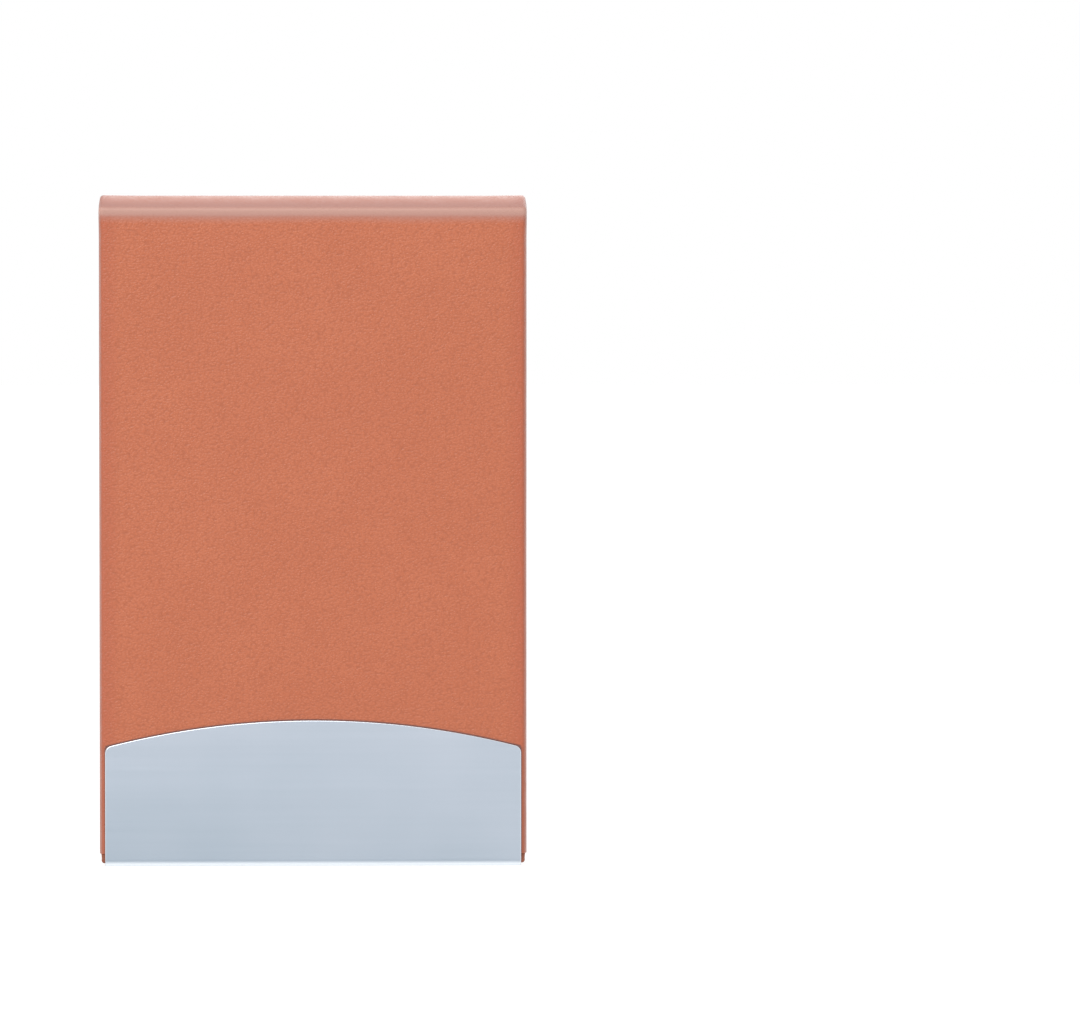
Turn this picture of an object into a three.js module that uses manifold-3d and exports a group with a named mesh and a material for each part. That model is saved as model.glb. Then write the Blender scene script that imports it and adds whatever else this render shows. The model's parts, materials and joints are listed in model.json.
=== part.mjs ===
// Business card case: a steel card tray inside a leather cover whose front half is a magnetic lid.
// It stands upright, +Z up. The lid, with its arched steel trim plate, faces -Y, and the width runs
// along X. The origin is the middle of the base. Millimetres.
//
// Three rigid groups of pieces fold on two lines at the top: the tray with the leather back, the
// leather spine over the top, and the lid. Each fold line lies on the leather's outer skin.
import * as THREE from 'three';
import { mergeVertices } from 'three/addons/utils/BufferGeometryUtils.js';
import Module from 'manifold-3d';

const wasm = await Module();
wasm.setup();

// Overall size
const height = 97;
const width = 62;
const depth = 14.2;
const frontY = -depth / 2;
const backY = depth / 2;

// Sheet and skin thicknesses
const skin = 0.6;
const spineSkin = 1.0;
const liningThickness = 0.4;
const traySheet = 0.6;
const sidePlateThickness = 0.8;
const trimSheet = 0.4;
const boardThickness = 1.0;
const backBoardThickness = 0.6;
const foamThickness = 0.4;
const glueGap = 0.05;

// Card tray: a flat box with half-round bottom and top
const trayRadius = 4.3;
const trayY = 1.2;
const trayBottomZ = 6.3;
const trayTopZ = 91.0;
const trayHalfWidth = 29.7;
const trayFrontY = trayY - trayRadius;
const trayBackY = trayY + trayRadius;
const frontLipZ = 12.5;
const topRollAngle = 100;
const notchRadius = 13;
const notchRise = 8;

// Leather back: flat, then a bend under the tray that ends in a lip
const bendRadius = backY - trayY;
const lipAngle = 80.2;
const bendZ = bendRadius * Math.sin(THREE.MathUtils.degToRad(lipAngle));
const shoulderZ = 93;
const backFoamTopZ = 92.8;

// Folds and the crowned spine between them
const foldZ = 95.95;
const rearFoldY = 6.1;
const frontFoldY = -6.4;
const splitDepth = 0.8;
const splitGap = 0.08;

// Lid
const lidSkinY = frontY + trimSheet;
const lidBackY = -4.5;
const coreHalfWidth = width / 2 - 0.7;
const coreBottomZ = 1.2;
const coreTopZ = 93.4;
const lidLiningBackY = -4.2;
const trimHalfWidth = width / 2 - 0.93;
const trimBend = 1.2;
const trimApexZ = 21.0;
const trimArcRadius = 108;
const trimCornerRadius = 1.0;
const returnEndY = 1.4;
const magnetRadius = 4;
const magnetX = 18;
const magnetZ = 8;
const magnetHoleRadius = 4.15;

const finishes = {
  leather: { color: 0xd17e61, roughness: 0.6, metalness: 0 },
  innerLeather: { color: 0xa9603f, roughness: 0.7, metalness: 0 },
  lining: { color: 0x191414, roughness: 0.9, metalness: 0 },
  steel: { color: 0xbccad7, roughness: 0.35, metalness: 1 },
  magnet: { color: 0xb4b6ba, roughness: 0.25, metalness: 1 },
  board: { color: 0x8c8376, roughness: 0.95, metalness: 0 },
  foam: { color: 0xd9d5cd, roughness: 1, metalness: 0 },
};

const caseGroup = new THREE.Group();

function addPiece(name, geometry, finish) {
  const piece = new THREE.Mesh(geometry, new THREE.MeshStandardMaterial(finishes[finish]));
  piece.name = name;
  caseGroup.add(piece);
}

function point(y, z) {
  return new THREE.Vector2(y, z);
}

// Points of a round stretch, from one angle to another in degrees; 0 points to the first axis.
function arc(centre, radius, from, to, steps = 8) {
  const points = [];
  for (let i = 0; i <= steps; i += 1) {
    const angle = THREE.MathUtils.degToRad(from + ((to - from) * i) / steps);
    points.push(point(centre.x + radius * Math.cos(angle), centre.y + radius * Math.sin(angle)));
  }
  return points;
}

// A side outline, as points (y, z), carried across the width from x0 to x1.
function acrossWidth(outline, x0, x1) {
  const geometry = new THREE.ExtrudeGeometry(new THREE.Shape(outline), {
    depth: x1 - x0,
    bevelEnabled: false,
  });
  const basis = new THREE.Matrix4().makeBasis(
    new THREE.Vector3(0, 1, 0),
    new THREE.Vector3(0, 0, 1),
    new THREE.Vector3(1, 0, 0),
  );
  return geometry.applyMatrix4(basis).translate(x0, 0, 0);
}

// A front outline, as a shape in (x, z), carried through the depth from y0 back to y1.
function throughDepth(shape, y0, y1) {
  const geometry = new THREE.ExtrudeGeometry(shape, { depth: y1 - y0, bevelEnabled: false });
  const basis = new THREE.Matrix4().makeBasis(
    new THREE.Vector3(1, 0, 0),
    new THREE.Vector3(0, 0, 1),
    new THREE.Vector3(0, -1, 0),
  );
  return geometry.applyMatrix4(basis).translate(0, y1, 0);
}

function toSolid(geometry) {
  const bare = geometry.clone();
  bare.deleteAttribute('normal');
  bare.deleteAttribute('uv');
  const merged = mergeVertices(bare, 1e-4);
  return new wasm.Manifold(new wasm.Mesh({
    numProp: 3,
    vertProperties: new Float32Array(merged.attributes.position.array),
    triVerts: new Uint32Array(merged.index.array),
  }));
}

function toGeometry(solid) {
  const mesh = solid.getMesh();
  const geometry = new THREE.BufferGeometry();
  geometry.setAttribute('position', new THREE.BufferAttribute(mesh.vertProperties, 3));
  geometry.setIndex(new THREE.BufferAttribute(mesh.triVerts, 1));
  return geometry;
}

function cut(geometry, tool) {
  return toGeometry(toSolid(geometry).subtract(toSolid(tool)));
}

const trayBottom = point(trayY, trayBottomZ);
const trayTop = point(trayY, trayTopZ);
const bendCentre = point(trayY, bendZ);

// ---- Card tray ----

function trayShell() {
  const inner = trayRadius - traySheet;
  const outline = [
    point(trayFrontY, frontLipZ),
    ...arc(trayBottom, trayRadius, 180, 360, 20),
    ...arc(trayTop, trayRadius, 0, topRollAngle, 11),
    ...arc(trayTop, inner, topRollAngle, 0, 11),
    ...arc(trayBottom, inner, 360, 180, 20),
    point(trayY - inner, frontLipZ),
  ];
  const shell = acrossWidth(outline, -trayHalfWidth, trayHalfWidth);
  const thumbNotch = new THREE.CylinderGeometry(notchRadius, notchRadius, 2 * traySheet, 48);
  thumbNotch.translate(0, trayFrontY + traySheet / 2, frontLipZ + notchRise);
  return cut(shell, thumbNotch);
}

function sidePlate(side) {
  const outline = [
    ...arc(trayBottom, trayRadius, 180, 360, 20),
    ...arc(trayTop, trayRadius, 0, 180, 20),
  ];
  const inner = side * trayHalfWidth;
  const outer = side * (trayHalfWidth + sidePlateThickness);
  return acrossWidth(outline, Math.min(inner, outer), Math.max(inner, outer));
}

addPiece('tray_shell', trayShell(), 'steel');
addPiece('side_plate_left', sidePlate(-1), 'steel');
addPiece('side_plate_right', sidePlate(1), 'steel');

// ---- Leather back, with its board and foam ----

function backLeather() {
  const rise = foldZ - shoulderZ;
  const inset = backY - rearFoldY;
  const shoulderRadius = (rise * rise + inset * inset) / (2 * inset);
  const shoulderAngle = THREE.MathUtils.radToDeg(Math.asin(rise / shoulderRadius));
  const shoulderCentre = point(backY - shoulderRadius, shoulderZ);
  const gap = splitGap * Math.SQRT1_2;
  const outline = [
    ...arc(bendCentre, bendRadius, -lipAngle, 0, 12),
    ...arc(shoulderCentre, shoulderRadius, 0, shoulderAngle, 5),
    point(rearFoldY - splitDepth + gap, foldZ - splitDepth - gap),
    point(trayBackY, shoulderZ),
    ...arc(trayBottom, trayRadius + glueGap, 0, -lipAngle, 12),
  ];
  const inside = [
    ...arc(bendCentre, bendRadius - skin, -lipAngle + 4, 0, 12),
    point(backY - skin, shoulderZ),
    point(trayBackY - skin, shoulderZ),
    ...arc(trayBottom, trayRadius - skin, 0, -lipAngle + 4, 12),
  ];
  const whole = acrossWidth(outline, -width / 2, width / 2);
  return cut(whole, acrossWidth(inside, -coreHalfWidth - glueGap, coreHalfWidth + glueGap));
}

function backFoam() {
  const boardY = trayBackY + backBoardThickness;
  const endAngle = lipAngle - 6;
  const outline = [
    ...arc(bendCentre, bendRadius - skin - glueGap, -endAngle, 0, 12),
    point(backY - skin - glueGap, backFoamTopZ),
    point(boardY, backFoamTopZ),
    point(boardY, trayBottomZ),
    ...arc(trayBottom, trayRadius + 2 * glueGap, 0, -endAngle, 12),
  ];
  return acrossWidth(outline, -coreHalfWidth, coreHalfWidth);
}

function backBoard() {
  const outline = [
    point(trayBackY, trayBottomZ + glueGap),
    point(trayBackY + backBoardThickness, trayBottomZ + glueGap),
    point(trayBackY + backBoardThickness, backFoamTopZ),
    point(trayBackY, backFoamTopZ),
  ];
  return acrossWidth(outline, -coreHalfWidth, coreHalfWidth);
}

addPiece('back_board', backBoard(), 'board');
addPiece('back_foam', backFoam(), 'foam');
addPiece('back_leather', backLeather(), 'leather');

// ---- Spine: the leather crown over the tray's top ----

const crownHalf = (rearFoldY - frontFoldY) / 2;
const crownRise = height - foldZ;
const crownRadius = (crownHalf * crownHalf + crownRise * crownRise) / (2 * crownRise);
const crownCentre = point((rearFoldY + frontFoldY) / 2, height - crownRadius);

// The angle, from the first axis, at which a crown circle passes a distance from its middle.
function crownAngle(radius, half) {
  return THREE.MathUtils.radToDeg(Math.acos(half / radius));
}

function crownStrip(outerDrop, thickness, outerHalf, innerHalf) {
  const outer = crownRadius - outerDrop;
  const inner = outer - thickness;
  const outerEnd = crownAngle(outer, outerHalf);
  const innerEnd = crownAngle(inner, innerHalf);
  return [
    ...arc(crownCentre, outer, outerEnd, 180 - outerEnd, 14),
    ...arc(crownCentre, inner, 180 - innerEnd, innerEnd, 14),
  ];
}

const spineHalf = crownHalf - splitGap;
const spineInnerHalf = crownHalf - splitDepth - splitGap;
const spineOutline = crownStrip(0, spineSkin, spineHalf, spineInnerHalf);
const spineLiningOutline = crownStrip(
  spineSkin + glueGap,
  liningThickness,
  spineInnerHalf,
  spineInnerHalf - liningThickness,
);
addPiece('spine_leather', acrossWidth(spineOutline, -width / 2, width / 2), 'leather');
addPiece('spine_lining', acrossWidth(spineLiningOutline, -coreHalfWidth, coreHalfWidth), 'lining');

// ---- Lid ----

const trimBendCentre = point(frontY + trimBend, trimBend);
const innerBend = trimBend - trimSheet;

function lidLeather() {
  const gap = splitGap * Math.SQRT1_2;
  const outline = [
    point(lidBackY, trimSheet),
    point(lidBackY, coreTopZ + 0.4),
    point(frontFoldY + splitDepth - gap, foldZ - splitDepth - gap),
    point(frontFoldY - gap, foldZ - gap),
    point(lidSkinY - 0.2, foldZ - 0.9),
    point(lidSkinY, foldZ - 1.7),
    ...arc(trimBendCentre, innerBend, 180, 270, 5),
  ];
  const inside = [
    point(lidSkinY + skin, coreBottomZ),
    point(lidBackY + skin, coreBottomZ),
    point(lidBackY + skin, coreTopZ),
    point(lidSkinY + skin, coreTopZ),
  ];
  const whole = acrossWidth(outline, -width / 2, width / 2);
  return cut(whole, acrossWidth(inside, -coreHalfWidth - glueGap, coreHalfWidth + glueGap));
}

function roundHole(x, z, radius) {
  const hole = new THREE.Path();
  hole.absarc(x, z, radius, 0, 2 * Math.PI, true);
  return hole;
}

function lidSlab(y0, y1, holeRadius = 0) {
  const outline = new THREE.Shape([
    point(-coreHalfWidth, coreBottomZ + glueGap),
    point(coreHalfWidth, coreBottomZ + glueGap),
    point(coreHalfWidth, coreTopZ - glueGap),
    point(-coreHalfWidth, coreTopZ - glueGap),
  ]);
  if (holeRadius > 0) {
    outline.holes.push(roundHole(-magnetX, magnetZ, holeRadius));
    outline.holes.push(roundHole(magnetX, magnetZ, holeRadius));
  }
  return throughDepth(outline, y0, y1);
}

function lidMagnet(side) {
  const magnet = new THREE.CylinderGeometry(magnetRadius, magnetRadius, boardThickness, 32);
  return magnet.translate(side * magnetX, boardFrontY + boardThickness / 2, magnetZ);
}

// The trim plate's front outline: straight sides, small round corners and a shallow arched top.
function trimFrontShape() {
  const arcCentre = point(0, trimApexZ - trimArcRadius);
  const inner = trimHalfWidth - trimCornerRadius;
  const cornerReach = trimArcRadius - trimCornerRadius;
  const cornerZ = arcCentre.y + Math.sqrt(cornerReach * cornerReach - inner * inner);
  const tilt = THREE.MathUtils.radToDeg(Math.asin(inner / cornerReach));
  return new THREE.Shape([
    point(-trimHalfWidth, -1),
    point(trimHalfWidth, -1),
    ...arc(point(inner, cornerZ), trimCornerRadius, 0, 90 - tilt, 5),
    ...arc(arcCentre, trimArcRadius, 90 - tilt, 90 + tilt, 30),
    ...arc(point(-inner, cornerZ), trimCornerRadius, 90 + tilt, 180, 5),
  ]);
}

// The trim plate: an angle section, front sheet and return under the lid, cut to the front outline.
function lidTrim() {
  const section = [
    point(returnEndY, 0),
    point(returnEndY, trimSheet),
    ...arc(trimBendCentre, innerBend, 270, 180, 5),
    point(lidSkinY, trimApexZ + 1),
    point(frontY, trimApexZ + 1),
    ...arc(trimBendCentre, trimBend, 180, 270, 5),
  ].reverse();
  const angle = toSolid(acrossWidth(section, -width / 2, width / 2));
  const front = toSolid(throughDepth(trimFrontShape(), frontY - 1, returnEndY + 1));
  return toGeometry(angle.intersect(front));
}

function returnLeather() {
  const outline = [
    point(lidBackY, trimSheet),
    point(returnEndY - 0.2, trimSheet),
    point(returnEndY - 0.2, coreBottomZ),
    point(lidBackY, coreBottomZ),
  ];
  return acrossWidth(outline, -coreHalfWidth, coreHalfWidth);
}

const foamFrontY = lidSkinY + skin;
const boardFrontY = foamFrontY + foamThickness;
const liningFrontY = boardFrontY + boardThickness;

addPiece('lid_leather', lidLeather(), 'leather');
addPiece('lid_foam', lidSlab(foamFrontY, boardFrontY), 'foam');
addPiece('lid_board', lidSlab(boardFrontY, liningFrontY, magnetHoleRadius), 'board');
addPiece('lid_magnet_left', lidMagnet(-1), 'magnet');
addPiece('lid_magnet_right', lidMagnet(1), 'magnet');
addPiece('lid_lining', lidSlab(liningFrontY, lidLiningBackY), 'lining');
addPiece('lid_trim_plate', lidTrim(), 'steel');
addPiece('return_leather', returnLeather(), 'innerLeather');

export default caseGroup;
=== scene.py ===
import bpy
import bmesh
import json
import math
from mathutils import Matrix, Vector, noise


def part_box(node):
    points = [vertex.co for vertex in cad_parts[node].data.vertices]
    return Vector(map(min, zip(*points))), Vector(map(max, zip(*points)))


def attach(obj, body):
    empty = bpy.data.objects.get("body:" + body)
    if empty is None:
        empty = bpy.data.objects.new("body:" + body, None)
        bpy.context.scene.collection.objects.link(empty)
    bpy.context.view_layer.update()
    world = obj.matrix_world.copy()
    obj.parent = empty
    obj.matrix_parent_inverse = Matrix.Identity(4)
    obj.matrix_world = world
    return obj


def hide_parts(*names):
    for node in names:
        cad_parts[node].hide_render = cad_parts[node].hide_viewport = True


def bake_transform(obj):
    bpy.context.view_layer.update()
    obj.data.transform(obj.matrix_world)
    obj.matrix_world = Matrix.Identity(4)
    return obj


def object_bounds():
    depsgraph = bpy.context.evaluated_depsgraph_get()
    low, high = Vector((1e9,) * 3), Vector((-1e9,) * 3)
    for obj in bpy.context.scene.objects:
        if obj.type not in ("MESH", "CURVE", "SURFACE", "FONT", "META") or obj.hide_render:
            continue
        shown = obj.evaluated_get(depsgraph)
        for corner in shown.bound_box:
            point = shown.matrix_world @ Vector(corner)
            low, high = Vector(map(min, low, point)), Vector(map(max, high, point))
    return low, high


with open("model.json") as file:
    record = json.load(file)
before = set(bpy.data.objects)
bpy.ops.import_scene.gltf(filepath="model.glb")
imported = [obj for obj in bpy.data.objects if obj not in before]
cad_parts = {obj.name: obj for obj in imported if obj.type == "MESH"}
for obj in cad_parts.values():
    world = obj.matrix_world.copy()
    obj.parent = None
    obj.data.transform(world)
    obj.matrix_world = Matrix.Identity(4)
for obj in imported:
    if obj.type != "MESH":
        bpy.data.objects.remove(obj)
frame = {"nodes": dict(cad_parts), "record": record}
cadLow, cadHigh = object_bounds()

mm = 0.001
joints = {j["name"]: Vector(j["pos_m"]) for j in frame["record"]["behaviour"]["joints"]}
rearFold = joints["rear_fold"]
frontFold = joints["front_fold"]
topZ = cadHigh.z
backY = cadHigh.y
halfWidth = cadHigh.x
crownY = (rearFold.y + frontFold.y) / 2
liningY = -4.5 * mm  # where the lid's board ends and its lining begins
trayLow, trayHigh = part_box("tray_shell")
trimLow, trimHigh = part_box("lid_trim_plate")
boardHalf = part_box("lid_board")[1].x
trim = {
    "bend": 1.2 * mm,
    "arc": 119 * mm,
    "corner": 1.1 * mm,
    "edge": 0.09 * mm,
    "sheet": 0.4 * mm,
    "crest": trimHigh.z + 0.12 * mm,
    "height": 22 * mm,
}


tightBend = 2 * mm
mitreReach = 4 * mm
mitreShare = 0.8  # how much of a tight bend's radius is left round
slabStep = 3 * mm
slabDegrees = 6
draftReach = 2 * mm


class BentPath:  # a side outline of straight and round stretches, its outer side on the right
    def __init__(self, start, heading, stretches):
        self.legs = []
        self.length = 0.0
        y, z = start
        turn = math.radians(heading)
        for size, angle in stretches:
            run = size * abs(angle) if angle else size
            self.legs.append((self.length, y, z, turn, size, angle))
            y, z, turn = self.onLeg(self.legs[-1], run)
            self.length += run

    def onLeg(self, leg, run):
        begin, y, z, turn, size, angle = leg
        if not angle:
            return y + run * math.cos(turn), z + run * math.sin(turn), turn
        side = 1 if angle > 0 else -1
        after = turn + side * run / size
        y += side * size * (math.sin(after) - math.sin(turn))
        z += side * size * (math.cos(turn) - math.cos(after))
        return y, z, after

    def at(self, s):
        leg = max((leg for leg in self.legs if leg[0] <= s), key=lambda leg: leg[0], default=self.legs[0])
        if s > self.length or s < 0:  # past an end the outline goes straight on
            y, z, turn = self.onLeg(leg, self.length - leg[0] if s > 0 else 0)
            over = s - self.length if s > 0 else s
            return y + over * math.cos(turn), z + over * math.sin(turn), turn
        return self.onLeg(leg, s - leg[0])

    def place(self, x, s, w):
        extra = Vector((0, 0, 0))
        for begin, y, z, turn, size, angle in self.legs:
            kept = mitreShare * size
            if angle <= 0 or size > tightBend or w <= kept:
                continue
            end = begin + size * angle
            shift = (w - kept) * math.tan(angle / 2)  # inside a tight bend the layers meet in a mitre
            if begin - mitreReach < s < begin:
                s -= shift * (s - begin + mitreReach) / mitreReach
            elif end < s < end + mitreReach:
                s += shift * (end + mitreReach - s) / mitreReach
            elif begin <= s <= end:
                middle = turn + angle / 2
                extra = Vector((0, -math.sin(middle), math.cos(middle))) * (w - kept) / math.cos(angle / 2)
                w = kept
        y, z, turn = self.at(s)
        return Vector((x, y - w * math.sin(turn), z + w * math.cos(turn))) + extra

    def stations(self, step, degrees):
        marks = []
        for begin, y, z, turn, size, angle in self.legs:
            run = size * abs(angle) if angle else size
            parts = max(1, round(math.degrees(abs(angle)) / degrees if angle else run / step))
            marks += [begin + run * i / parts for i in range(parts)]
        return marks + [self.length]


def straight(length):
    return (length, 0)


def bend(radius, degrees):
    return (radius, math.radians(degrees))


def smooth(value, low, high):
    t = min(1.0, max(0.0, (value - low) / (high - low)))
    return t * t * (3 - 2 * t)


def through(points):  # eases from one given value to the next along the outline
    def value(s):
        result = points[0][1]
        for (s0, v0), (s1, v1) in zip(points, points[1:]):
            if s > s0:
                result = v0 + (v1 - v0) * smooth(s, s0, s1)
        return result
    return value


def constant(value):
    return lambda s: value


def allOf(bm):
    return bm.verts[:] + bm.edges[:] + bm.faces[:]


def sliceAt(bm, axis, at, clear=None):
    normal = Vector((0, 0, 0))
    normal[axis] = 1
    bmesh.ops.bisect_plane(bm, geom=allOf(bm), dist=1e-7, plane_co=normal * at, plane_no=normal,
                           clear_inner=clear == "below", clear_outer=clear == "above")


# a slab with rounded edges, laid along a bent outline; hollow gives the half width and end margin of the
# opening in its inner face, for a skin that is turned round a core
def wrappedSlab(path, span, half, depthAt, rounding, openStart=False, openEnd=False, hollow=None,
                firstDepth=None, lift=None, draft=None, notched=None):
    s0, s1 = span
    depth = max(depthAt(s0 + (s1 - s0) * i / 20) for i in range(21))
    low = s0 - (2 * mm if openStart else 0)
    high = s1 + (2 * mm if openEnd else 0)
    bm = bmesh.new()
    bmesh.ops.create_cube(bm, size=1.0)
    bmesh.ops.scale(bm, vec=(2 * half, high - low, depth), verts=bm.verts)
    bmesh.ops.translate(bm, vec=(0, (low + high) / 2, depth / 2), verts=bm.verts)
    bmesh.ops.bevel(bm, geom=bm.edges[:], offset=rounding, affect="EDGES", segments=5, profile=0.5,
                    material=-1)
    if openStart:
        sliceAt(bm, 1, s0, "below")
    if openEnd:
        sliceAt(bm, 1, s1, "above")
    for s in path.stations(slabStep, slabDegrees):
        if s0 + 0.1 * mm < s < s1 - 0.1 * mm:
            sliceAt(bm, 1, s)
    columns = round(2 * half / slabStep)
    for i in range(1, columns):
        sliceAt(bm, 0, -half + 2 * half * i / columns)
    if hollow:
        openHalf, margin = hollow
        for x in (-openHalf, openHalf):
            sliceAt(bm, 0, x)
        inner0 = s0 if openStart else s0 + margin
        inner1 = s1 if openEnd else s1 - margin
        sliceAt(bm, 1, inner0)
        sliceAt(bm, 1, inner1)
        gone = []
        for face in bm.faces:
            c = face.calc_center_median()
            if face.normal.z > 0.99 and abs(c.x) < openHalf and inner0 < c.y < inner1:
                gone.append(face)
        bmesh.ops.delete(bm, geom=gone, context="FACES")
    elif openStart or openEnd:
        bmesh.ops.holes_fill(bm, edges=[e for e in bm.edges if e.is_boundary], sides=0)
    if notched:
        cornerHalf, cornerS = notched
        for x in (-cornerHalf, cornerHalf):
            sliceAt(bm, 0, x)
        sliceAt(bm, 1, cornerS)
        gone = [f for f in bm.faces if abs(f.calc_center_median().x) > cornerHalf
                and f.calc_center_median().y > cornerS]
        bmesh.ops.delete(bm, geom=gone, context="FACES")
    for v in bm.verts:
        x, s, w = v.co
        raised = lift(x, s, w) if lift else 0.0
        if draft:  # the sides lean in towards the outer face
            nearSide = smooth(abs(x), half - draftReach, half)
            x -= math.copysign(draft(s), x) * (1 - min(1.0, w / depth)) * nearSide
        under = firstDepth(s) if firstDepth else 0.0
        v.co = path.place(x, s, under + w * depthAt(s) / depth - raised)
    return bm


# half of a plate's outline from its middle line: a leg is round (centre, degrees, steps) or straight (to)
def halfOutline(first, legs):
    bm = bmesh.new()
    tip = bm.verts.new((*first, 0))
    for leg in legs:
        if len(leg) == 3:
            centre, degrees, steps = leg
            made = bmesh.ops.spin(bm, geom=[tip], cent=(*centre, 0), axis=(0, 0, 1),
                                  angle=math.radians(degrees), steps=steps, use_duplicate=False)
            tip = [g for g in made["geom_last"] if isinstance(g, bmesh.types.BMVert)][0]
        else:
            made = bmesh.ops.extrude_vert_indiv(bm, verts=[tip])
            tip = made["verts"][0]
            tip.co = Vector((*leg, 0))
    return bm


def crispRims(bm):  # smooth all over but for the line where a flat face meets its rounded rim
    for face in bm.faces:
        face.smooth = True
    for edge in bm.edges:
        edge.smooth = len({face.material_index for face in edge.link_faces}) == 1


# a plate from half its flat outline: mirrored, filled, given its thickness and rounded edges, then bent
def bentPlate(path, bm, thickness, edge):
    bmesh.ops.mirror(bm, geom=allOf(bm), axis="X", merge_dist=1e-6)
    bmesh.ops.remove_doubles(bm, verts=bm.verts, dist=1e-6)
    bmesh.ops.contextual_create(bm, geom=bm.edges[:])
    made = bmesh.ops.extrude_face_region(bm, geom=bm.faces[:])
    raised = [g for g in made["geom"] if isinstance(g, bmesh.types.BMVert)]
    bmesh.ops.translate(bm, vec=(0, 0, thickness), verts=raised)
    bmesh.ops.recalc_face_normals(bm, faces=bm.faces)
    rims = [e for e in bm.edges if abs(e.verts[0].co.z - e.verts[1].co.z) < 1e-7]
    bmesh.ops.bevel(bm, geom=rims, offset=edge, affect="EDGES", segments=3, profile=0.5, material=-1,
                    clamp_overlap=False)
    low = min(v.co.y for v in bm.verts)
    high = max(v.co.y for v in bm.verts)
    for s in path.stations(8 * mm, 5):
        if low + 1e-5 < s < high - 1e-5:
            sliceAt(bm, 1, s)
    for face in bm.faces:  # the rounded edges are polished
        face.material_index = 0 if abs(face.normal.z) > 0.999 else 1
    crispRims(bm)
    for v in bm.verts:
        v.co = path.place(v.co.x, v.co.y, v.co.z)
    return bm


# an object with its modifiers applied, shaded smooth up to an angle, or as its bmesh says
def makePiece(name, bm, materials, modifiers=(), sharpAngle=50):
    mesh = bpy.data.meshes.new(name)
    bm.to_mesh(mesh)
    bm.free()
    for material in materials:
        mesh.materials.append(material)
    piece = bpy.data.objects.new(name, mesh)
    bpy.context.scene.collection.objects.link(piece)
    for kind, values in modifiers:
        modifier = piece.modifiers.new(kind.title(), kind)
        for key, value in values.items():
            setattr(modifier, key, value)
    if modifiers:
        bpy.context.view_layer.update()
        done = bpy.data.meshes.new_from_object(piece.evaluated_get(bpy.context.evaluated_depsgraph_get()))
        piece.modifiers.clear()
        piece.data = done
        done.name = name
    unbent = piece.data.attributes.new("unbent", "FLOAT_VECTOR", "POINT")
    for v in piece.data.vertices:
        unbent.data[v.index].vector = v.co
    if sharpAngle:
        piece.data.shade_smooth()
        piece.data.set_sharp_from_angle(angle=math.radians(sharpAngle))
    return piece


class Wire:  # a node's output; arithmetic on it adds Math nodes
    def __init__(self, surface, socket):
        self.surface = surface
        self.socket = socket

    def maths(self, operation, a, b):
        node = self.surface.node("ShaderNodeMath", {"operation": operation}, {0: a, 1: b})
        return node.out(0)

    def __add__(self, other):
        return self.maths("ADD", self, other)

    def __radd__(self, other):
        return self.maths("ADD", other, self)

    def __sub__(self, other):
        return self.maths("SUBTRACT", self, other)

    def __rsub__(self, other):
        return self.maths("SUBTRACT", other, self)

    def __mul__(self, other):
        return self.maths("MULTIPLY", self, other)

    def __rmul__(self, other):
        return self.maths("MULTIPLY", other, self)


class Node:
    def __init__(self, surface, node):
        self.surface = surface
        self.node = node

    def out(self, name):
        return Wire(self.surface, self.node.outputs[name])


class Surface:  # a material made of nodes; on a piece that bends it follows the unbent shape
    def __init__(self, name, bends=False):
        self.bends = bends
        self.material = bpy.data.materials.new(name)
        self.material.use_nodes = True
        self.tree = self.material.node_tree
        self.tree.nodes.clear()

    def node(self, kind, settings=None, inputs=None):
        made = self.tree.nodes.new(kind)
        for key, value in (settings or {}).items():
            if key == "stops":
                ramp = made.color_ramp.elements
                while len(ramp) < len(value):
                    ramp.new(0.5)
                for element, (position, colour) in zip(ramp, value):
                    element.position = position
                    element.color = (*colour, 1.0)
            else:
                setattr(made, key, value)
        for key, value in (inputs or {}).items():
            if isinstance(value, Wire):
                self.tree.links.new(value.socket, made.inputs[key])
            else:
                made.inputs[key].default_value = value
        return Node(self, made)

    def mix(self, share, first, second):
        inputs = {"Factor": share, 6: asColour(first), 7: asColour(second)}
        return self.node("ShaderNodeMix", {"data_type": "RGBA"}, inputs).out(2)

    def place(self, scale=(1, 1, 1)):
        if self.bends:
            where = self.node("ShaderNodeAttribute", {"attribute_name": "unbent"}).out("Vector")
        else:
            where = self.node("ShaderNodeTexCoord").out("Object")
        return self.node("ShaderNodeMapping", {}, {"Vector": where, "Scale": scale}).out("Vector")

    def noise(self, where, size, detail=2.0, roughness=0.5):
        inputs = {"Vector": where, "Scale": 1 / size, "Detail": detail, "Roughness": roughness}
        return self.node("ShaderNodeTexNoise", {}, inputs).out("Fac")

    def ranged(self, value, low, high, toLow=0.0, toHigh=1.0):
        inputs = {"Value": value, "From Min": low, "From Max": high, "To Min": toLow, "To Max": toHigh}
        return self.node("ShaderNodeMapRange", {"clamp": True}, inputs).out("Result")

    def bump(self, height, distance, strength=1.0):
        inputs = {"Height": height, "Distance": distance, "Strength": strength}
        return self.node("ShaderNodeBump", {}, inputs).out("Normal")

    def finish(self, inputs):
        shader = self.node("ShaderNodeBsdfPrincipled", {}, inputs)
        self.node("ShaderNodeOutputMaterial", {}, {"Surface": shader.out("BSDF")})
        return self.material


def asColour(value):
    return value if isinstance(value, Wire) else (*value, 1.0)


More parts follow.
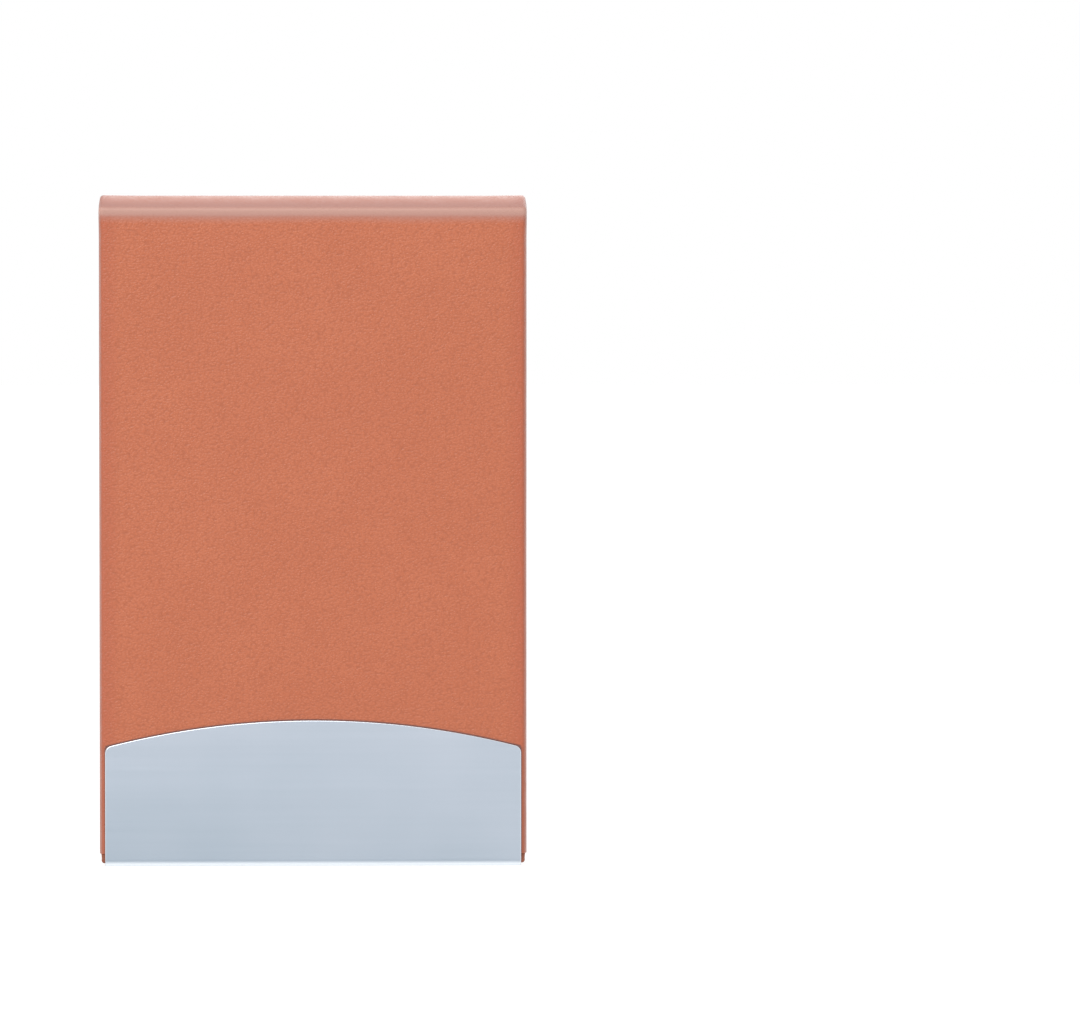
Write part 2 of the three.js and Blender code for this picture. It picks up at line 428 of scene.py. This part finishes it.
leatherLook = {
    "colour": (0.452, 0.122, 0.051),
    "deep": (0.391, 0.099, 0.040),
    "pale": (0.478, 0.140, 0.063),
    "creviceShade": (0.342, 0.086, 0.034),
    "stretchedSheen": (0.332, 0.164, 0.136),
    "flank": (0.385, 0.088, 0.038),
    "edgeShade": (0.300, 0.078, 0.036),
    "blotch": 16 * mm,
    "patch": 2.6 * mm,
    "fine": 0.16 * mm,
    "drift": (0.8 * mm, 0.4 * mm),
    "pebble": 0.29 * mm,
    "pebbleLength": 1.35,
    "pebbleHeight": 0.075 * mm,
    "roughness": 0.38,
    "tautRoughness": 0.46,
    "stretchSheenFrom": 93.0 * mm,
    "stretchSheenTo": 94.4 * mm,
    "paintedHighlight": (0.425, 0.232, 0.186),
    "crown": (95.5 * mm, 96.5 * mm),
    "ridge": (93.9 * mm, 94.6 * mm, 95.0 * mm, 95.5 * mm),
    "drawnEdge": (30.4 * mm, 30.9 * mm),
    "flankBand": (28.2 * mm, 30.8 * mm),
    "frontFace": (-6.2 * mm, -5.8 * mm),
    "shadowBand": (0.10 * mm, 0.26 * mm),
    "margin": (-0.1 * mm, 0.1 * mm),
    "shadow": (0.110, 0.044, 0.038),
}


def leatherMaterial(look):
    s = Surface("tanLeather", True)
    where = s.place()
    apart = s.node("ShaderNodeSeparateXYZ", {}, {"Vector": where})
    x, y, z = apart.out("X"), apart.out("Y"), apart.out("Z")
    blotch = s.noise(where, look["blotch"], 2.0)
    patch = s.noise(where, look["patch"], 3.0)
    driftSize, driftBy = look["drift"]
    drift = s.node("ShaderNodeTexNoise", {},
                   {"Vector": where, "Scale": 1 / driftSize, "Detail": 2.0}).out("Color")
    bent = s.node("ShaderNodeVectorMath", {"operation": "MULTIPLY_ADD"},
                  {0: drift, 1: (driftBy,) * 3, 2: s.place((1 / look["pebbleLength"], 1, 1))}).out(0)
    pebbles = s.node("ShaderNodeTexVoronoi", {"feature": "SMOOTH_F1"},
                     {"Vector": bent, "Scale": 1 / look["pebble"], "Smoothness": 0.7}).out("Distance")
    fine = s.noise(s.place((0.6, 1, 1)), look["fine"], 3.0)
    valley = s.ranged(pebbles, 0.34, 0.80)

    # the leather is drawn smooth over its folds and edges
    side = s.node("ShaderNodeMath", {"operation": "ABSOLUTE"}, {0: x}).out(0)
    fold = s.ranged(z + (blotch - 0.5) * (0.8 * mm), look["stretchSheenFrom"], look["stretchSheenTo"])
    edge = s.ranged(side + patch * (0.2 * mm), *look["drawnEdge"])
    taut = s.node("ShaderNodeMath", {"operation": "MAXIMUM"}, {0: fold, 1: edge}).out(0)

    tone = s.ranged(blotch * 0.14 + patch * 0.14 + fine * 0.72, 0.30, 0.70)
    colour = s.mix(tone, look["deep"], look["colour"])
    colour = s.mix(s.ranged(blotch + patch * 0.4, 0.66, 0.90, 0.0, 0.18), colour, look["pale"])
    colour = s.mix(s.ranged(side + patch * mm, *look["flankBand"], 0.0, 0.85), colour, look["flank"])
    # painted shade: the cover's side faces darker, as if less lit from the sides
    colour = s.mix(edge * 0.9, colour, look["edgeShade"])
    # paler band over the fold: the stretched leather's paler tone with a painted sheen of grazing light
    crown = s.ranged(z, *look["crown"], 0.9, 0.5)
    colour = s.mix(fold * crown, colour, look["stretchedSheen"])
    # painted highlight: a pale line along the roll just below the crown
    ridgeFoot, ridgeLow, ridgeHigh, ridgeTop = look["ridge"]
    ridge = s.ranged(z, ridgeFoot, ridgeLow) * s.ranged(z, ridgeHigh, ridgeTop, 1.0, 0.0)
    colour = s.mix(ridge, colour, look["paintedHighlight"])
    # painted shade in the grain's valleys, less where the leather is drawn taut
    colour = s.mix(valley * 0.8 * (1 - taut), colour, look["creviceShade"])

    # painted shade beside the trim plate, with a fine painted shadow line along its edges
    drop = z - (trim["crest"] - trim["arc"])
    fromCentre = s.node("ShaderNodeMath", {"operation": "SQRT"}, {0: x * x + drop * drop}).out(0)
    fromArc = fromCentre - trim["arc"]
    front = s.ranged(y, *look["frontFace"], 1.0, 0.0)
    beside = s.ranged(fromArc, *look["margin"], 1.0, 0.0) * front
    colour = s.mix(beside * 0.5, colour, look["edgeShade"])
    nearArc = s.node("ShaderNodeMath", {"operation": "ABSOLUTE"}, {0: fromArc}).out(0)
    within = s.ranged(side, trimHigh.x - 0.1 * mm, trimHigh.x + 0.1 * mm, 1.0, 0.0)
    rim = s.ranged(nearArc, *look["shadowBand"], 0.90, 0.0) * front * within
    rimSide = s.ranged(side, trimHigh.x, trimHigh.x + 0.2 * mm, 0.8, 0.0) * beside
    line = s.node("ShaderNodeMath", {"operation": "MAXIMUM"}, {0: rim, 1: rimSide}).out(0)
    colour = s.mix(line, colour, look["shadow"])

    soft = s.ranged(patch + valley * 0.3, 0.3, 0.9, look["roughness"] - 0.05, look["roughness"] + 0.07)
    roughness = soft + taut * (look["tautRoughness"] - look["roughness"])
    raised = (1.0 - pebbles + fine * 0.5) * (1 - taut * 0.92)
    return s.finish({"Base Color": colour, "Roughness": roughness, "Specular IOR Level": 0.5,
                     "Sheen Weight": 0.06, "Sheen Roughness": 0.35,
                     "Normal": s.bump(raised, look["pebbleHeight"], 1.0)})


def plainLeather(name, colour, deep, grain, bends=False):
    s = Surface(name, bends)
    where = s.place()
    patch = s.noise(where, 1.8 * mm, 3.0)
    fibre = s.noise(where, grain, 4.0, 0.65)
    mixed = s.mix(s.ranged(patch * 0.5 + fibre * 0.5, 0.35, 0.65), deep, colour)
    return s.finish({"Base Color": mixed, "Roughness": s.ranged(fibre, 0.3, 0.7, 0.72, 0.92),
                     "Specular IOR Level": 0.35, "Normal": s.bump(fibre, 0.04 * mm, 0.8)})


steelLook = {
    "colour": (0.398, 0.462, 0.531),
    "lift": (0.487, 0.535, 0.607),
    "bend": (0.86, 0.91, 0.96),
    "bendReflectionBand": (0.35 * mm, 0.80 * mm),
    "roughness": 0.34,
}
edgeLook = {
    "colour": (0.64, 0.69, 0.75),
    "lift": (0.70, 0.74, 0.79),
    "bend": (0.70, 0.74, 0.79),
    "bendReflectionBand": (0.35 * mm, 0.80 * mm),
    "roughness": 0.16,
}


def steelMaterial(name, look, streak):
    s = Surface(name)
    lines = s.noise(s.place(streak), 1.0, 3.0, 0.6)
    clouds = s.noise(s.place(), 22 * mm, 2.0)
    z = s.node("ShaderNodeSeparateXYZ", {}, {"Vector": s.place()}).out("Z")
    # lighter towards the top: painted light, laid over fine streaks and a random cloudy tone
    share = s.ranged(lines * 0.14 + clouds * 0.46 + z * (0.30 / trim["height"]), 0.25, 0.65)
    colour = s.mix(share, look["colour"], look["lift"])
    # painted reflection: brighter within a millimetre of the floor, where the bottom bend would mirror the
    # bright floor
    colour = s.mix(s.ranged(z, *look["bendReflectionBand"], 1.0, 0.0), colour, look["bend"])
    roughness = s.ranged(lines, 0.3, 0.7, look["roughness"] - 0.04, look["roughness"] + 0.05)
    return s.finish({"Base Color": colour, "Metallic": 1.0, "Roughness": roughness,
                     "Normal": s.bump(lines, 0.0012 * mm, 0.35)})


def liningMaterial():
    s = Surface("blackLining", True)
    where = s.place()
    nap = s.noise(where, 0.16 * mm, 3.0, 0.6)
    rub = s.noise(where, 9 * mm, 2.0)
    tone = s.ranged(nap * 0.6 + rub * 0.4, 0.35, 0.65)
    colour = s.mix(tone, (0.006, 0.005, 0.005), (0.020, 0.017, 0.018))
    return s.finish({"Base Color": colour, "Roughness": s.ranged(nap, 0.3, 0.7, 0.85, 1.0),
                     "Specular IOR Level": 0.2, "Sheen Weight": 0.15,
                     "Normal": s.bump(nap, 0.06 * mm, 0.9)})


def speckledMaterial(name, dark, light, grain, roughness, metallic=0.0, height=0.02 * mm):
    s = Surface(name)
    speck = s.noise(s.place(), grain, 4.0, 0.6)
    colour = s.mix(s.ranged(speck, 0.38, 0.62), dark, light)
    return s.finish({"Base Color": colour, "Metallic": metallic,
                     "Roughness": s.ranged(speck, 0.3, 0.7, roughness - 0.05, roughness + 0.05),
                     "Normal": s.bump(speck, height, 0.6)})


leather = leatherMaterial(leatherLook)
rawEdge = plainLeather("rawLeatherEdge", (0.56, 0.33, 0.15), (0.34, 0.17, 0.08), 0.10 * mm, True)
innerLeather = plainLeather("brownLeather", (0.30, 0.105, 0.062), (0.19, 0.062, 0.036), 0.30 * mm)
steel = steelMaterial("satinSteel", steelLook, (30, 2600, 2600))
edgeSteel = steelMaterial("polishedEdge", edgeLook, (60, 900, 900))
sideSteel = steelMaterial("sideSteel", steelLook, (2600, 2600, 30))
lining = liningMaterial()
board = speckledMaterial("greyBoard", (0.20, 0.18, 0.15), (0.32, 0.29, 0.24), 0.5 * mm, 0.93)
foam = speckledMaterial("paddingFoam", (0.55, 0.53, 0.48), (0.74, 0.72, 0.67), 0.3 * mm, 0.95)
nickel = speckledMaterial("nickelPlate", (0.60, 0.60, 0.60), (0.70, 0.70, 0.69), 2.0 * mm, 0.24, 1.0,
                          0.001 * mm)
print("materials made")


cover = {
    "skin": 0.6 * mm,
    "edgeRound": 0.48 * mm,
    "lipAngle": 80.2,
    "rearShoulder": 2.2 * mm,
    "rearShoulderAngle": 62,
    "frontCrown": 13.0 * mm,
    "frontCrownAngle": 28.5,
    "rollOver": 14,
    "creaseRadius": 0.9 * mm,
    "flare": 0.06 * mm,
    "spineDepth": 1.4 * mm,
    "ripple": 0.018 * mm,
    "lidEnd": 1.2 * mm,
    "lidDraft": 0.45 * mm,
    "foldLean": 0.25 * mm,
    "outer": 0.5 * mm,
    "rippleSize": 11 * mm,
    "flareReach": 6 * mm,
    "fade": 3 * mm,
    "ease": 1 * mm,
    "lipExtra": 0.35 * mm,
    "lipFade": 6 * mm,
    "notchIn": 0.1 * mm,
    "notchUp": 0.6 * mm,
    "rearFoldPast": 0.6 * mm,
    "frontFoldBefore": 0.9 * mm,
    "turnIn": 4 * mm,
    "backDraft": 0.25 * mm,
}
trayY = (trayLow.y + trayHigh.y) / 2
trayRadius = (trayHigh.y - trayLow.y) / 2
lidSkinY = trimLow.y + trim["sheet"]
lidDepth = liningY - lidSkinY
backDepth = backY - trayHigh.y - 0.03 * mm


def backPath():
    angle = cover["rearShoulderAngle"]
    radius = cover["rearShoulder"]
    run = backY - crownY
    rest = math.radians(90 - angle)
    crown = (run - radius * (1 - math.cos(math.radians(angle)))) / math.sin(rest)
    shoulderZ = topZ - radius * math.sin(math.radians(angle)) - crown * (1 - math.cos(rest))
    under = backY - trayY
    lip = math.radians(cover["lipAngle"])
    underZ = under * math.sin(lip)
    start = (trayY + under * math.cos(lip), 0.0)
    stretches = [bend(under, cover["lipAngle"]), straight(shoulderZ - underZ),
                 bend(radius, angle), bend(crown, 90 - angle)]
    return BentPath(start, 90 - cover["lipAngle"], stretches)


def frontPath():
    crown = cover["frontCrown"]
    angle = math.radians(cover["frontCrownAngle"])
    over = math.radians(cover["rollOver"])
    crease = cover["creaseRadius"]
    past = crownY - crown * math.sin(angle) + crease * (1 - math.cos(over)) - lidSkinY
    radius = past / (math.cos(over) - math.sin(angle))
    z = topZ - crown * (1 - math.cos(angle))
    z -= radius * (math.cos(angle) + math.sin(over)) + crease * math.sin(over)
    down = z - cover["lidEnd"]
    stretches = [bend(crown, cover["frontCrownAngle"]),
                 bend(radius, 90 - cover["frontCrownAngle"] + cover["rollOver"]),
                 bend(crease, -cover["rollOver"]), straight(down)]
    return BentPath((crownY, topZ), 180, stretches)


backRun = backPath()
frontRun = frontPath()


def ripple(x, s, w):
    if w > cover["outer"]:  # only the outer face waves
        return 0.0
    where = Vector((x, s, 0)) / cover["rippleSize"]
    return cover["ripple"] * (noise.noise(where) + 0.4 * noise.noise(where * 2.7))


def flareAt(x, near, far):
    return cover["flare"] * smooth(abs(x), halfWidth - cover["flareReach"], halfWidth) * near * far


crownStart = backRun.legs[3][0]
shoulderStart = backRun.legs[2][0]
lipEnd = backRun.legs[1][0]


def backLift(x, s, w):
    onCrown = smooth(s, shoulderStart + 2 * mm, crownStart + 1 * mm)
    return ripple(x, s, w) * smooth(backRun.length - s, 0, cover["fade"]) + flareAt(x, onCrown, 1)


rollStart = frontRun.legs[1][0]
creaseStart = frontRun.legs[2][0]
faceStart = frontRun.legs[3][0]
footStart = frontRun.length


def frontLift(x, s, w):
    wave = ripple(x, s, w) * smooth(s, 0, cover["fade"])
    fade = 1 - smooth(s, rollStart, creaseStart)
    return wave + flareAt(x, 1, fade)


backLean = through([(0, cover["backDraft"]), (shoulderStart, cover["backDraft"]),
                    (crownStart, cover["foldLean"])])
frontLean = through([(0, cover["foldLean"]), (creaseStart, cover["foldLean"]),
                     (faceStart + cover["ease"], cover["lidDraft"])])
turnedHalf = halfWidth - cover["turnIn"]
skinWall = ("SOLIDIFY", {"thickness": cover["skin"], "offset": -1.0, "use_even_offset": False,
                         "material_offset_rim": 1})

backDepths = through([(0, backDepth + cover["lipExtra"]), (lipEnd + cover["lipFade"], backDepth),
                      (shoulderStart, backDepth), (crownStart, cover["spineDepth"])])
frontDepths = through([(0, cover["spineDepth"]), (rollStart, cover["spineDepth"]),
                       (faceStart + cover["ease"], lidDepth)])

notchHalf = boardHalf + 0.05 * mm - cover["notchIn"]
rearFoldEnd = backRun.place(0, crownStart + cover["rearFoldPast"], 0)
frontFoldStart = frontRun.place(0, rollStart - cover["frontFoldBefore"], 0)

coverBack = makePiece("back_cover", wrappedSlab(
    backRun, (0, backRun.length), halfWidth, backDepths, cover["edgeRound"], openEnd=True,
    hollow=(turnedHalf, cover["turnIn"]), lift=backLift, draft=backLean), [leather, rawEdge], [skinWall])
coverFront = makePiece("lid_cover", wrappedSlab(
    frontRun, (0, frontRun.length), halfWidth, frontDepths, cover["edgeRound"], openStart=True,
    openEnd=True, hollow=(turnedHalf, cover["turnIn"]), lift=frontLift, draft=frontLean,
    notched=(notchHalf, footStart - cover["notchUp"])), [leather, rawEdge], [skinWall])

backRun.place(0, shoulderStart, 0)
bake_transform(coverBack)
frontRun.place(0, faceStart, 0)
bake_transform(coverFront)
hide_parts("back_leather", "spine_leather")
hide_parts("lid_leather")
print("cover made")


tray = {
    "sheet": 0.6 * mm,
    "edge": 0.14 * mm,
    "plateEdge": 0.22 * mm,
    "topRoll": 100,
    "lipZ": 12.5 * mm,
    "notchRadius": 13 * mm,
    "notchRise": 8 * mm,
    "notchEase": 0.8 * mm,
}


def trayPath():
    down = tray["lipZ"] - (trayLow.z + trayRadius)
    up = trayHigh.z - trayLow.z - 2 * trayRadius
    stretches = [straight(down), bend(trayRadius, 180), straight(up), bend(trayRadius, tray["topRoll"])]
    return BentPath((trayLow.y, tray["lipZ"]), 270, stretches)


def trayOutline(length):
    radius, rise, ease = tray["notchRadius"], tray["notchRise"], tray["notchEase"]
    meet = math.degrees(math.acos((rise + ease) / (radius + ease)))  # where the notch eases into the lip
    easeX = (radius + ease) * math.sin(math.radians(meet))
    return halfOutline((0, radius - rise), [((0, -rise), -meet, 24), ((easeX, ease), meet, 8),
                                            (trayHigh.x, 0), (trayHigh.x, length), (0, length)])


trayRun = trayPath()
trayPiece = makePiece("card_tray", bentPlate(
    trayRun, trayOutline(trayRun.length), tray["sheet"], tray["edge"]), [steel, edgeSteel], (), None)
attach(trayPiece, "tray")
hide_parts("tray_shell")


def sidePlate(name, node):
    low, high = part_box(node)
    radius = (high.y - low.y) / 2
    bm = bmesh.new()
    bmesh.ops.create_circle(bm, cap_ends=True, segments=96, radius=radius)
    turn = Vector((0, 0, 1)).rotation_difference((1, 0, 0)).to_matrix()
    bmesh.ops.rotate(bm, verts=bm.verts, matrix=turn)
    made = bmesh.ops.extrude_face_region(bm, geom=bm.faces[:])
    raised = [g for g in made["geom"] if isinstance(g, bmesh.types.BMVert)]
    bmesh.ops.translate(bm, vec=(high.x - low.x, 0, 0), verts=raised)
    for v in bm.verts:
        v.co.z += high.z - low.z - 2 * radius if v.co.z > 1e-6 else 0.0  # the upper half moves up
    bmesh.ops.translate(bm, vec=(low.x, (low.y + high.y) / 2, low.z + radius), verts=bm.verts)
    bmesh.ops.recalc_face_normals(bm, faces=bm.faces)
    rims = [e for e in bm.edges if e.calc_face_angle() > math.radians(60)]
    bmesh.ops.bevel(bm, geom=rims, offset=tray["plateEdge"], affect="EDGES", segments=3, profile=0.5,
                    material=1)
    crispRims(bm)
    piece = makePiece(name, bm, [sideSteel, edgeSteel], (), None)
    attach(piece, "tray")
    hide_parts(node)


sidePlate("tray_end_left", "side_plate_left")
sidePlate("tray_end_right", "side_plate_right")
print("tray made")


def trimPath():
    down = trim["crest"] - trim["bend"]
    along = trimHigh.y - (trimLow.y + trim["bend"])
    stretches = [straight(down), bend(trim["bend"], 90), straight(along)]
    return BentPath((trimLow.y, trim["crest"]), 270, stretches)


def trimOutline(length):
    arc, corner = trim["arc"], trim["corner"]
    inner = trimHigh.x - corner
    lean = math.degrees(math.asin(inner / (arc - corner)))
    cornerS = arc - (arc - corner) * math.cos(math.radians(lean))
    return halfOutline((0, 0), [((0, arc), lean, 40), ((inner, cornerS), 90 - lean, 10),
                                (trimHigh.x, length), (0, length)])


trimRun = trimPath()
trimPiece = makePiece("trim_plate", bentPlate(
    trimRun, trimOutline(trimRun.length), trim["sheet"], trim["edge"]), [steel, edgeSteel], (), None)
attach(trimPiece, "lid")
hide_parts("lid_trim_plate")

liningShape = {
    "thick": 0.4 * mm,
    "under": 1.14 * mm,
    "rounding": 0.15 * mm,
    "sunk": 0.12 * mm,
    "rearStart": 1 * mm,
    "footPast": 0.1 * mm,
    "foldTop": 94.7 * mm,
    "foldFoot": 93.7 * mm,
}
liningFront = makePiece("lid_inside", wrappedSlab(
    frontRun, (0, footStart + liningShape["footPast"]), boardHalf, constant(liningShape["thick"]),
    liningShape["rounding"], openStart=True,
    firstDepth=through([(0, liningShape["under"]), (rollStart, liningShape["under"]),
                        (creaseStart, lidDepth - liningShape["sunk"])])), [lining])
liningRear = makePiece("spine_inside", wrappedSlab(
    backRun, (shoulderStart - liningShape["rearStart"], backRun.length), boardHalf,
    constant(liningShape["thick"]), liningShape["rounding"], openEnd=True,
    firstDepth=constant(liningShape["under"])), [lining])
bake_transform(liningFront)
backRun.place(0, shoulderStart, 0)
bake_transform(liningRear)
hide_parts("lid_lining")
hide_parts("spine_lining")

stripShape = {"thick": 0.8 * mm, "rounding": 0.25 * mm, "short": 0.2 * mm}
stripRun = BentPath((liningY, trim["sheet"]), 0, [straight(trimHigh.y - stripShape["short"] - liningY)])
stripPiece = makePiece("return_strip", wrappedSlab(
    stripRun, (0, stripRun.length), boardHalf, constant(stripShape["thick"]), stripShape["rounding"]),
    [innerLeather])
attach(stripPiece, "lid")
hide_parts("return_leather")

pad = {"thick": 0.36 * mm, "under": 0.63 * mm, "rounding": 0.12 * mm, "inset": 0.5 * mm,
       "lipShort": 0.9 * mm, "shoulderShort": 0.2 * mm, "faceShort": 0.8 * mm}


def padding(name, run, span):
    return makePiece(name, wrappedSlab(run, span, boardHalf - pad["inset"], constant(pad["thick"]),
                                       pad["rounding"], firstDepth=constant(pad["under"])), [foam])


backPad = padding("back_padding", backRun, (pad["lipShort"], shoulderStart - pad["shoulderShort"]))
lidPad = padding("lid_padding", frontRun, (faceStart + pad["faceShort"], footStart))
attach(backPad, "tray")
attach(lidPad, "lid")
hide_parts("back_foam")
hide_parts("lid_foam")

tuck = {
    "low": (29.3 * mm, -6.50 * mm, 0.42 * mm),
    "high": (30.62 * mm, -4.35 * mm, 1.95 * mm),
    "rounding": 0.42 * mm,
    "rough": 0.05 * mm,
    "lump": 0.5 * mm,
}


def cornerTuck(name, side):  # the leather's corner, folded in under the turned edge at the lid's foot
    low, high = Vector(tuck["low"]), Vector(tuck["high"])
    bm = bmesh.new()
    bmesh.ops.create_cube(bm, size=1.0)
    bmesh.ops.scale(bm, vec=high - low, verts=bm.verts)
    bmesh.ops.bevel(bm, geom=bm.edges[:], offset=tuck["rounding"], affect="EDGES", segments=4, profile=0.5,
                    material=-1)
    longEdges = [e for e in bm.edges if e.calc_length() > tuck["lump"]]
    bmesh.ops.subdivide_edges(bm, edges=longEdges, cuts=6, use_grid_fill=True)
    bmesh.ops.translate(bm, vec=(low + high) / 2, verts=bm.verts)
    for v in bm.verts:
        v.co += v.normal * tuck["rough"] * noise.noise(v.co / tuck["lump"])
    if side < 0:
        bmesh.ops.scale(bm, vec=(-1, 1, 1), verts=bm.verts)
        bmesh.ops.reverse_faces(bm, faces=bm.faces)
    piece = makePiece(name, bm, [innerLeather])
    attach(piece, "lid")


cornerTuck("corner_tuck_left", -1)
cornerTuck("corner_tuck_right", 1)

for node, material in (("back_board", board), ("lid_board", board),
                       ("lid_magnet_left", nickel), ("lid_magnet_right", nickel)):
    frame["nodes"][node].material_slots[0].material = material
print("lid made")


studio = {
    "distance": 1.2,
    "elevation": 2.0,
    "fieldWidth": 0.1561,
    "aimRight": 0.0328,
    "aimUp": 0.0024,
    "world": 1.0,
    "floorGlow": 0.82,
    "overhead": ((0.0, -0.05, 0.85), (0.9, 0.2), 0.4),
    "front": ((-0.45, -0.85, 0.72), (1.1, 0.8), 7.9),
    "rear": ((0.5, 1.4, 0.8), (1.4, 1.0), 8.0),
}


def makeFloor():
    bm = bmesh.new()
    bmesh.ops.create_grid(bm, x_segments=8, y_segments=8, size=4.0)
    s = Surface("paleFloor")
    tone = s.mix(s.ranged(s.noise(s.place(), 0.3), 0.3, 0.7), (0.21, 0.21, 0.21), (0.23, 0.23, 0.23))
    paint = s.finish({"Base Color": tone, "Roughness": 0.9, "Specular IOR Level": 0.1,
                      "Emission Color": (1, 1, 1, 1), "Emission Strength": studio["floorGlow"]})
    floor = makePiece("floor", bm, [paint])


def makeCamera():
    data = bpy.data.cameras.new("camera")
    data.lens = data.sensor_width * studio["distance"] / studio["fieldWidth"]
    data.clip_start = 0.05
    data.clip_end = 20
    camera = bpy.data.objects.new("camera", data)
    bpy.context.scene.collection.objects.link(camera)
    middle = Vector((0, cadLow.y, (cadLow.z + cadHigh.z) / 2))
    tilt = math.radians(studio["elevation"])
    camera.location = middle + Vector((0, -math.cos(tilt), math.sin(tilt))) * studio["distance"]
    aim = middle + Vector((studio["aimRight"], 0, studio["aimUp"]))
    camera.rotation_euler = (aim - camera.location).to_track_quat("-Z", "Y").to_euler()
    bpy.context.scene.camera = camera


def softLight(name, place, size, power):  # a softbox turned towards the case
    data = bpy.data.lights.new(name, "AREA")
    data.shape = "RECTANGLE"
    data.size, data.size_y = size
    data.energy = power
    light = bpy.data.objects.new(name, data)
    light.location = place
    light.rotation_euler = (Vector((0, 0, 0.05)) - Vector(place)).to_track_quat("-Z", "Y").to_euler()
    bpy.context.scene.collection.objects.link(light)


def makeWorld():
    world = bpy.data.worlds.new("studio")
    world.use_nodes = True
    background = world.node_tree.nodes["Background"]
    background.inputs["Color"].default_value = (1, 1, 1, 1)
    background.inputs["Strength"].default_value = studio["world"]
    bpy.context.scene.world = world
    bpy.context.scene.view_settings.view_transform = "Standard"


makeFloor()
makeCamera()
for lamp in ("overhead", "front", "rear"):
    softLight(lamp, *studio[lamp])
makeWorld()
print("studio made")
